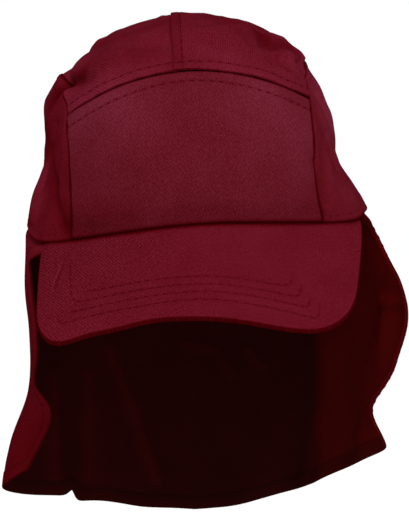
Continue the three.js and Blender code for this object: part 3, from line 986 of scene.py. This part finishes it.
def top_panel(name, left_x, right_x, laps_over):
    """Half of the top. Laps_over is true where its centre edge lies on the other's."""

    def lap_edge(x):
        return on_arch(x, -arch_overhang(x))

    start = [turn_of(lap_edge(x)) for x in (left_x, right_x)]
    dome = dome_patch(
        spaced(right_x - left_x),
        spaced(TOP_LENGTH),
        low=lambda u: lap_edge(lerp(left_x, right_x, u)),
        high=lambda u: dome_across(lerp(left_x, right_x, u), 180),
        left=lambda v: dome_across(left_x, lerp(start[0], 180, v)),
        right=lambda v: dome_across(right_x, lerp(start[1], 180, v)),
    )
    surface, details = cloth(dome), folds_at(dome, CROWN_DETAILS, MM)
    (arch, along), (back, _), (left, _), (right, _) = border_distances(surface)
    centre, side = (left, right) if laps_over else (right, left)
    x = surface[..., 0]
    swell = LAP_SWELL["height"] * bell(x - LAP_SWELL["x"], LAP_SWELL["spread"])
    lift = ARCH_LAP_RELIEF + swell
    lap = 1 - smoothstep(arch, 0.5 * ARCH_LAP_WIDTH, 1.3 * ARCH_LAP_WIDTH)
    relief = details + lift * lap
    relief += roll(arch, radius=0.5 * MM) + roll(side) + roll(back, RIM_ROLL)
    row = arch - TOP_ROW_INSET
    relief += groove(row)
    # Painted shadow along the side seam, the arch edge and the stitch row.
    shade = seam_shade(side) * seam_shade(arch, depth=0.3, width=0.5 * MM) * row_shade(row)
    if laps_over:
        centre_row = centre - CENTRE_ROW_INSET
        doubled = 1 - smoothstep(centre, CENTRE_ROW_INSET, 1.5 * CENTRE_ROW_INSET)
        relief += CENTRE_LAP_RELIEF * doubled
        relief += roll(centre, radius=0.6 * MM) + groove(centre_row)
        shade *= row_shade(centre_row) * seam_shade(centre, depth=0.12, width=0.5 * MM)
        darker = 1 - smoothstep(centre, CENTRE_ROW_INSET, CENTRE_ROW_INSET + 1 * MM)
        shade *= 1 - CENTRE_LAP_DARKENING * darker
        uneven = lumps(surface, size=12 * MM, seed=31)
        gathers = np.sin(along / RIGHT_GATHER_PITCH * 2 * math.pi + uneven)
        gathers *= bell(arch - 8 * MM, 9 * MM) * smoothstep(centre, 0, 8 * MM)
        relief += RIGHT_GATHER_HEIGHT * gathers
    else:
        clear = smoothstep(centre, CENTRE_OVERHANG, 2.6 * MM + CENTRE_OVERHANG)
        relief -= CENTRE_LAP_ROOM * (1 - clear)
        uneven = lumps(surface, size=14 * MM, seed=33)
        gathers = np.sin(along / LEFT_GATHER_PITCH * 2 * math.pi + 2 * uneven)
        relief += LEFT_GATHER_HEIGHT * gathers * bell(arch - 7 * MM, 8 * MM)
        # Painted shadow beside the other half's overlapping edge.
        from_lap = np.maximum(centre - 2 * CENTRE_OVERHANG, 0)
        shade *= seam_shade(from_lap, depth=0.2, width=0.8 * MM)
    relief += groove(back - RIM_ROW_INSET)
    seed = 41 if laps_over else 47
    relief += wrinkles(surface, seed, size=24 * MM, height=0.5 * MM)
    # Painted shadow along the rim seam and its stitch row, and the crown's painted shade, light and
    # wear.
    shade *= seam_shade(back, **RIM_SHADE) * row_shade(back - RIM_ROW_INSET) * shade_and_wear_at(dome)
    material = right_top_cloth if laps_over else left_top_cloth
    outer, normals = crown_shell(name, surface, details, relief, shade, material, lap)
    inside = side > STITCH_CLEARANCE
    rows = [contour(outer, normals, arch, TOP_ROW_INSET, x, inside)]
    if laps_over:
        away = (arch > TOP_ROW_INSET) & (back > RIM_ROW_INSET)
        rows.append(contour(outer, normals, centre, CENTRE_ROW_INSET, arch - back, away))
    return rows, contour(outer, normals, back, RIM_ROW_INSET, x, inside)


def side_panel(name, side):
    """One side. Side is 1 towards +X and -1 towards -X."""
    edge = SIDE_SEAM_X
    corner = seam_corner_azimuth(edge)
    low = turn_of(crown_rim(side * corner))
    shoulder = turn_of(on_arch(edge, 0.0))
    back_azimuth = azimuth_of(dome_across(edge, 180))

    def along_seam(u):
        return u if side > 0 else 1 - u

    def seam(start, end):
        return lambda v: dome_across(side * edge, lerp(start, end, v))

    front, back = seam(low, shoulder), seam(180, 180 - shoulder)
    dome = dome_patch(
        spaced(SIDE_WIDTH),
        spaced(SIDE_HEIGHT),
        low=lambda u: crown_rim(side * lerp(corner, back_azimuth, along_seam(u))),
        high=lambda u: seam(shoulder, 180 - shoulder)(along_seam(u)),
        left=front if side > 0 else back,
        right=back if side > 0 else front,
    )
    surface, details = cloth(dome), folds_at(dome, CROWN_DETAILS, MM)
    (below, along), (above, _), (left, _), (right, _) = border_distances(surface)
    seams = np.minimum(above, np.minimum(left, right))
    relief = details + roll(seams) + roll(below, RIM_ROLL)
    ridge = smoothstep(seams, 0.6 * MM, 1.4 * MM)
    ridge *= 1 - smoothstep(seams, ALLOWANCE_WIDTH - 0.5 * MM, ALLOWANCE_WIDTH + 0.9 * MM)
    relief += ALLOWANCE_RELIEF * ridge
    relief += groove(below - RIM_ROW_INSET) / 2
    seed = 61 if side > 0 else 67
    relief += wrinkles(surface, seed, size=26 * MM, height=0.6 * MM)
    # Painted shadow along the seams and the rim seam, and the crown's painted shade, light and wear.
    shade = seam_shade(seams) * seam_shade(below, **RIM_SHADE) * shade_and_wear_at(dome)
    material = lit_right_side_cloth if side > 0 else shaded_left_side_cloth
    outer, normals = crown_shell(name, surface, details, relief, shade, material)
    return contour(outer, normals, below, RIM_ROW_INSET, along, seams > STITCH_CLEARANCE)


# The peak

PEAK_START = cloth(on_rim(0.0)[None])[0]
PEAK_SLOPE = math.radians(PEAK_SLOPE_ANGLE)
PEAK_EDGE_STEPS = 241
PEAK_HIDDEN_RISE = 3 * MM
PEAK_HIDDEN_INSET = PEAK_INSET + 1.2 * MM
PEAK_UNEVENNESS = 0.12 * MM
CREASE_HEIGHT = 0.7 * MM
CREASE_DIP = 0.5 * MM
# The crease's painted shade beside it and painted highlight on its ridge.
CREASE_SHADE = 0.3
CREASE_HIGHLIGHT = 0.34


def peak_bend(x):
    def drop(share):
        return np.hypot(PEAK_ROUNDING, share) - PEAK_ROUNDING

    return PEAK_BEND * drop(x / (PEAK_WIDTH / 2)) / drop(1)


def peak_sheet(x, along):
    bend = peak_bend(x)
    return stack(
        x,
        PEAK_START[1] - along * math.cos(PEAK_SLOPE) + bend * math.sin(PEAK_SLOPE),
        PEAK_START[2] - along * math.sin(PEAK_SLOPE) - bend * math.cos(PEAK_SLOPE),
    )


def peak_edge(angle):
    """The edge of the peak at angles from straight ahead."""
    corner = cloth(on_rim(float(PEAK_SPAN_ANGLE))[None])[0]
    corner_along = (PEAK_START[1] - corner[1]) * math.cos(PEAK_SLOPE)
    across, ahead = np.sin(np.radians(angle)), np.cos(np.radians(angle))
    power = PEAK_SQUARENESS
    reach = (np.abs(across) ** power + np.abs(ahead) ** power) ** (-1 / power)
    x, forward = PEAK_WIDTH / 2 * reach * across, reach * ahead
    drawn = corner - peak_sheet(np.array(PEAK_WIDTH / 2), corner_along)
    drawn = stack(drawn[0] * np.sign(x), drawn[1], drawn[2])
    sheet = peak_sheet(x, lerp(corner_along, PEAK_LENGTH, forward))
    return sheet + drawn * (1 - forward)[:, None]


def peak_root(azimuth):
    inside = cloth(on_rim(azimuth), PEAK_INSET)
    return stack(inside[..., 0], inside[..., 1], rim_height(azimuth) - SEAM_GAP)


def shaped_edge(angle):
    """The edge of the worn peak, which is shorter on its left and rounder on its right."""
    edge = peak_edge(angle)
    for middle, spread, aside, ahead in PEAK_SHIFTS:
        aside, ahead = aside * MM, ahead * MM
        way = np.array([aside, -ahead * math.cos(PEAK_SLOPE), -ahead * math.sin(PEAK_SLOPE)])
        edge = edge + way * bell(angle - middle, spread)[:, None]
    return edge


def sheet_along(p):
    """How far down the peak's slope a place lies."""
    back, up = PEAK_START[1] - p[..., 1], PEAK_START[2] - p[..., 2]
    return back * math.cos(PEAK_SLOPE) + up * math.sin(PEAK_SLOPE)


def peak():
    """The peak, with a turned lip, rows of stitches and a crease on its left."""
    across = np.linspace(-1, 1, PEAK_EDGE_STEPS)
    down = np.array([0, math.sin(PEAK_SLOPE), -math.cos(PEAK_SLOPE)])
    edge = shaped_edge(across * PEAK_SIDE_ANGLE)
    azimuths = np.linspace(*PEAK_ROOT_ANGLES, len(across))
    root = peak_root(azimuths)
    above_rim = dome_at(azimuths, rim_height(azimuths) + PEAK_HIDDEN_RISE)
    hidden = cloth(above_rim, PEAK_HIDDEN_INSET)
    top = lerp(edge[None], root[None], spaced(PEAK_LENGTH)[:, None, None])
    inside = lerp(root[None], hidden[None], np.array([0.4, 0.7, 1.0])[:, None, None])
    top = np.concatenate([top, inside])

    outline = np.concatenate([root[:1], edge, root[-1:]])
    from_edge, _ = nearest(top, outline)
    from_root, _ = nearest(top, root)
    x, along = top[..., 0], sheet_along(top)
    slant = PEAK_ROW_SLANT["extra"] * bell(x - PEAK_ROW_SLANT["x"], PEAK_ROW_SLANT["spread"])
    ahead = PEAK_LENGTH - slant - along
    from_left = (x - PEAK_ROW_SIDES["left"]) * PEAK_ROW_NARROWING["left"]
    from_right = (PEAK_ROW_SIDES["right"] - x) * PEAK_ROW_NARROWING["right"]
    borders = np.maximum(np.stack([ahead, from_left, from_right]), 0.1 * MM)
    inset = (borders**-6).sum(axis=0) ** (-1 / 6)
    turn = np.arctan2(x + 5 * MM, 60 * MM - ahead)
    turns = np.where(x[..., None] < 0, PEAK_ROW_TURNS["left"], PEAK_ROW_TURNS["right"])
    kept = (ahead[..., None] - PEAK_ROW_INSETS < turns) & (from_left > 0)[..., None]

    flat = np.stack([x, along, np.zeros(x.shape)], axis=-1)
    crease, crease_along = nearest(flat, PEAK_CREASE)
    beside, _ = nearest(flat + np.array([-1.3, 0, 0]) * MM, PEAK_CREASE)
    crease_length = np.linalg.norm(np.diff(PEAK_CREASE, axis=0), axis=1).sum()
    fades = np.sin(math.pi * np.clip(crease_along / crease_length, 0.04, 0.96))
    radius = PEAK_LIP_RADIUS
    lip = 1 - np.sqrt(1 - np.clip(1 - from_edge / radius, 0, 1) ** 2)
    relief = PEAK_UNEVENNESS * lumps(top, size=30 * MM, seed=71)
    ridge, dip = CREASE_HEIGHT * bell(crease, 0.9 * MM), CREASE_DIP * bell(beside, 1 * MM)
    relief += (ridge - dip) * fades
    # Painted shadow along the root under the crown's edge, painted shade beside the crease and a
    # painted highlight on its ridge, and painted shade along the rows of stitches.
    shade = seam_shade(from_root, depth=0.85, width=2.2 * MM)
    shade *= 1 - CREASE_SHADE * bell(beside, 0.8 * MM) * fades
    shade *= 1 + CREASE_HIGHLIGHT * bell(crease, 0.8 * MM) * fades
    for row, distance in enumerate(PEAK_ROW_INSETS):
        relief += groove(inset - distance) * kept[..., row]
        shade *= 1 - (1 - row_shade(inset - distance)) * kept[..., row]
    # Painted shade on the lip, and on the whole underside below.
    shade *= 1 - (1 - LIP_SHADE) * (1 - smoothstep(from_edge, 0.4 * MM, 0.8 * MM))
    upper = top - down * (relief * (1 - smoothstep(-from_edge, -2 * MM, 0)) - radius * lip)[..., None]
    lower = top + down * (PEAK_WALL - radius * lip)[..., None]
    shaded = np.full(shade.shape, LIP_SHADE)
    sheet = np.stack([x, -along], axis=-1)
    piece = shell("peak_cloth", upper, lower, sheet, [peak_cloth] * 3, shade, shaded)
    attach(piece, "root")
    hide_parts("peak")
    normals = normals_of(upper)
    return [
        contour(upper, normals, inset, distance, turn, kept[..., row])
        for row, distance in enumerate(PEAK_ROW_INSETS)
    ]


# The neck flap

FLAP_START = PEAK_SPAN_ANGLE + FLAP_CLEARANCE_ANGLE
FLAP_SWEEP = 360 - 2 * FLAP_START
FLAP_WIDTH = 345 * MM
ALLOWANCE_SHARE = HIDDEN_ALLOWANCE / FLAP_LENGTH
HEM_ROW_INSET = HEM_WIDTH - 1.2 * MM
HEM_ROUNDING = 0.9 * MM
TUCK_DEPTH = CROWN_CLOTH + 1.3 * MM
LIFT_FADE = 40 * MM
FLAP_UNEVENNESS = 0.5 * MM
HEM_GROOVE_SHARE = 0.7

# Painted light and shade of the flap, as factors: outside, painted shadow in the nook at
# its top, paler below that and darker near the hem; inside, painted shadow under the rim,
# and painted light where the light falls, from its top to its hem.
NOOK_SHADE = 0.35
HIGH_SHADE = 1.2
LOW_SHADE = 0.86
UNDER_RIM_SHADE = 0.45
LIT_SHADES = (3.5, 2.2)
LIT_AROUND = (0.26, 0.3)
LIT_HEM_DARKENING = 0.3
LIT_EDGE_SHADE = 1.2
INNER_FOLD_RELIEF = 4.5 * MM
INNER_FOLD_SHADES = (0.6, 1.5)
LEFT_PALING = {"around": 0.72, "spread": 0.12, "tone": 0.16}


def flap_relief(around, down):
    relief = np.zeros(np.broadcast(around, down).shape)
    for place, spread, levels in FLAP_FOLDS:
        size = through((0, *levels), down**FLAP_LEVEL_CURVE)
        relief += size * CROWN_WIDTH * bell(around - place, spread)
    return relief


def flap_details(around, down):
    """The shapes that only the looks have: fuller front edges and creases."""
    relief = np.zeros(around.shape)
    for place, spread, levels in FLAP_EDGES:
        relief += through(np.array(levels) * MM, down) * bell(around - place, spread)
    flat = stack(around * FLAP_WIDTH, down * FLAP_LENGTH, 0)
    creases = np.zeros(around.shape)
    for places, spread, height in FLAP_CREASES:
        line = np.array([(a * FLAP_WIDTH, d * FLAP_LENGTH, 0) for a, d in places])
        distance, _ = nearest(flat, line)
        creases += height * MM * bell(distance, spread * MM)
    return relief, creases


def flap_surface(around, down, details):
    """The flap's cloth. Down is 0 at the rim, 1 at the hem, and less than 0 on the
    allowance that is sewn inside the crown."""
    hanging = np.maximum(down, 0)
    off = np.abs(2 * around - 1) ** FLAP_HEM_CURVE
    drop = lerp(FLAP_LENGTH, FLAP_FRONT_LENGTH, off) * hanging
    azimuth = FLAP_START + around * FLAP_SWEEP
    tab = smoothstep(around, 1 - TAB_SHARE, 1) * (1 - smoothstep(drop, TAB_LENGTH / 4, TAB_LENGTH))
    closing = (1 - smoothstep(around, 0, TAB_SHARE)) * (1 - smoothstep(drop, 0, TAB_LENGTH / 3))
    azimuth = azimuth + TAB_ANGLE * tab - CLOSING_ANGLE * closing
    rise = HIDDEN_ALLOWANCE * np.maximum(-down, 0) / ALLOWANCE_SHARE
    rim = cloth(dome_at(azimuth, rim_height(azimuth) + rise))
    ahead = cloth(on_rim(azimuth + 1)) - cloth(on_rim(azimuth - 1))
    outward = unit(np.cross(ahead, np.array([0, 0, 1])))
    tucked = TUCK_DEPTH * (1 - smoothstep(drop, 0.5 * MM, 6 * MM))
    out = flap_relief(around, hanging) + details - tucked
    place = rim + outward * out[..., None]
    lean = drop * math.tan(math.radians(FLAP_LEAN_ANGLE))
    lift = side_lift(azimuth) * np.maximum(0, 1 - drop / LIFT_FADE)
    longer = sum(extra * MM * bell(around - spot, spread) for spot, spread, extra in HEM_DROPS)
    height = rim_height(azimuth) + rise + lift - SEAM_GAP - drop - longer * hanging**3
    return stack(place[..., 0] - lean, place[..., 1], height)


def neck_flap():
    """The flap, with turned hems on its free edges."""
    across = spaced(FLAP_WIDTH)[None, :]
    down = 1 - spaced(0.9 * FLAP_LENGTH)[:, None] * (1 + ALLOWANCE_SHARE)
    around, level = np.broadcast_arrays(across, down)
    edges, creases = flap_details(around, np.maximum(level, 0))
    surface = flap_surface(around, level, edges + creases * smoothstep(level, 0, 0.2))
    normals = normals_of(surface)
    (hem, _), (top, _), (right, _), (left, _) = border_distances(surface)
    free = np.minimum(hem, np.minimum(left, right))
    band = 1 - smoothstep(free, HEM_WIDTH - 0.4 * MM, HEM_WIDTH + 0.6 * MM)
    thick = FLAP_CLOTH / 2 + HEM_RELIEF * band
    edge = np.sqrt(1 - np.clip(1 - free / HEM_ROUNDING, 0, 1) ** 2)
    soft = lumps(surface, size=38 * MM, seed=81) * FLAP_UNEVENNESS
    soft *= smoothstep(top, 5 * MM, 35 * MM)
    row = free - HEM_ROW_INSET
    stitched = groove(row) * HEM_GROOVE_SHARE
    middle = surface + normals * (soft - FLAP_CLOTH / 2)[..., None]
    outer = middle + normals * (thick * edge + stitched)[..., None]
    inner = middle - normals * (thick * edge + stitched)[..., None]
    # Outside: painted shade along the hem's stitch row and at the free edges, and painted shade and
    # light on the creases.
    outer_shade = row_shade(row) * painted_fold_shade(creases) * smoothstep(free, -1 * MM, 1.2 * MM)
    # Painted shadow in the nook under the rim at the right front edge.
    clear = np.maximum(smoothstep(level, 0.02, 0.14), smoothstep(around, 0.02, 0.06))
    outer_shade *= lerp(NOOK_SHADE, 1.0, clear)
    outer_shade *= lerp(HIGH_SHADE, 1.0, smoothstep(level, 0.05, 0.3))
    outer_shade *= lerp(1.0, LOW_SHADE, smoothstep(level, 0.6, 0.85))
    # Inside: painted shade and light on the creases, painted shadow along the hem and under the rim,
    # painted light on the right front part, darker along its hem, paler to the left.
    inner_shade = row_shade(row) * np.clip(1 - creases / INNER_FOLD_RELIEF, *INNER_FOLD_SHADES)
    inner_shade *= seam_shade(free - HEM_WIDTH, depth=0.3, width=0.9 * MM)
    inner_shade *= lerp(UNDER_RIM_SHADE, 1.0, smoothstep(level, 0.02, 0.14))
    in_light = 1 - smoothstep(around, *LIT_AROUND)
    inner_shade *= lerp(1.0, lerp(*LIT_SHADES, level), in_light)
    inner_shade *= lerp(LIT_EDGE_SHADE, 1.0, smoothstep(around, 0.1, 0.13))
    near_hem = 1 - smoothstep(hem, 5 * MM, HEM_WIDTH)
    inner_shade *= 1 - LIT_HEM_DARKENING * in_light * near_hem
    pale = bell(around - LEFT_PALING["around"], LEFT_PALING["spread"])
    inner_shade *= 1 + LEFT_PALING["tone"] * pale
    # The flap's inside and edges take the dark inside red, painted shade.
    materials = [flap_cloth, reverse_shadow_cloth, reverse_shadow_cloth]
    uv = measure(outer)
    piece = shell("neck_flap_cloth", outer, inner, uv, materials, outer_shade, inner_shade)
    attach(piece, "root")
    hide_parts("neck_flap")
    order = np.arctan2(around - 0.5, level - 0.4)
    return piece, surface, contour(outer, normals, row, 0.0, order, level > 0.03)


def sheet_size(surface):
    """The mean way across, the longest way along and the area of a sheet's grid."""
    across = np.linalg.norm(np.diff(surface, axis=1), axis=-1)
    along = np.linalg.norm(np.diff(surface, axis=0), axis=-1)
    diagonals = np.cross(
        surface[1:, 1:] - surface[:-1, :-1], surface[1:, :-1] - surface[:-1, 1:]
    )
    area = np.linalg.norm(diagonals, axis=-1).sum() / 2
    return across.sum(axis=1).mean(), along.sum(axis=0).max(), area


# Everything together

arch_rows = front_panel()
centre_left = CENTRE_SEAM_X - CENTRE_OVERHANG
right_rows, right_back = top_panel("top_panel_right", centre_left, SIDE_SEAM_X, True)
left_rows, left_back = top_panel("top_panel_left", -SIDE_SEAM_X, CENTRE_SEAM_X + CENTRE_OVERHANG, False)
side_rows = [side_panel("side_panel_right", 1), side_panel("side_panel_left", -1)]
stitches("stitches_arch", arch_rows + right_rows + left_rows)
stitches("stitches_rim", side_rows + [right_back, left_back], rim_thread)
stitches("stitches_peak", peak())
flap, flap_middle, hem_row = neck_flap()
stitches("stitches_hem", [hem_row])
width, length, area = sheet_size(flap_middle)

# Stage

FLOOR_HEIGHT = -350 * MM
FLOOR_HALF_WIDTH = 40.0
SKY_STRENGTH = 0.5
SUN_STRENGTH = 2.8
SUN_ANGLE = 28
SUN_DIRECTION = (0.14, -1.0, 1.1)


def add_floor():
    half = FLOOR_HALF_WIDTH
    corners = [(-half, -half), (half, -half), (half, half), (-half, half)]
    mesh = bpy.data.meshes.new("floor")
    mesh.from_pydata([(x, y, FLOOR_HEIGHT) for x, y in corners], [], [(0, 1, 2, 3)])
    material = bpy.data.materials.new("floor")
    material.use_nodes = True
    shader = material.node_tree.nodes["Principled BSDF"]
    shader.inputs["Base Color"].default_value = (0.9, 0.9, 0.9, 1)
    shader.inputs["Roughness"].default_value = 0.9
    mesh.materials.append(material)
    floor = bpy.data.objects.new("floor", mesh)
    bpy.context.scene.collection.objects.link(floor)


def add_lights():
    world = bpy.data.worlds.new("studio")
    bpy.context.scene.world = world
    world.use_nodes = True
    sky = world.node_tree.nodes["Background"]
    sky.inputs["Color"].default_value = (1, 1, 1, 1)
    sky.inputs["Strength"].default_value = SKY_STRENGTH
    sun = bpy.data.lights.new("key", "SUN")
    sun.energy = SUN_STRENGTH
    sun.angle = math.radians(SUN_ANGLE)
    lamp = bpy.data.objects.new("key", sun)
    lamp.rotation_mode = "QUATERNION"
    lamp.rotation_quaternion = Vector(SUN_DIRECTION).to_track_quat("Z", "Y")
    bpy.context.scene.collection.objects.link(lamp)


# The camera stands as the photograph's did: a little above the rim, straight ahead,
# with the cap leaning to the left in its frame.

IMAGE_WIDTH = 409
IMAGE_HEIGHT = 520
ORIGIN_PIXEL = (196.4, 219.2)
PIXEL_SIZE = 0.577 * MM
CAMERA_DISTANCE = 1.4
CAMERA_ELEVATION = 8
CAP_LEAN = 4
SENSOR_WIDTH = 36
FAR_CLIP = 100


def add_camera():
    elevation, lean = math.radians(CAMERA_ELEVATION), math.radians(CAP_LEAN)
    right = Vector((1, 0, 0))
    up = Vector((0, math.sin(elevation), math.cos(elevation)))
    back = right.cross(up)
    turned_right = right * math.cos(lean) - up * math.sin(lean)
    turned_up = right * math.sin(lean) + up * math.cos(lean)
    aside = (ORIGIN_PIXEL[0] - IMAGE_WIDTH / 2) * PIXEL_SIZE
    above = (IMAGE_HEIGHT / 2 - ORIGIN_PIXEL[1]) * PIXEL_SIZE
    place = back * CAMERA_DISTANCE - turned_right * aside - turned_up * above
    data = bpy.data.cameras.new("camera")
    focal_pixels = CAMERA_DISTANCE / PIXEL_SIZE
    data.sensor_width = SENSOR_WIDTH
    data.lens = focal_pixels / IMAGE_HEIGHT * data.sensor_width
    data.clip_end = FAR_CLIP
    camera = bpy.data.objects.new("camera", data)
    axes = Matrix((turned_right, turned_up, back)).transposed()
    camera.matrix_world = Matrix.Translation(place) @ axes.to_4x4()
    bpy.context.scene.collection.objects.link(camera)
    bpy.context.scene.camera = camera


add_floor()
add_lights()
add_camera()
bpy.context.scene.view_settings.view_transform = "Standard"
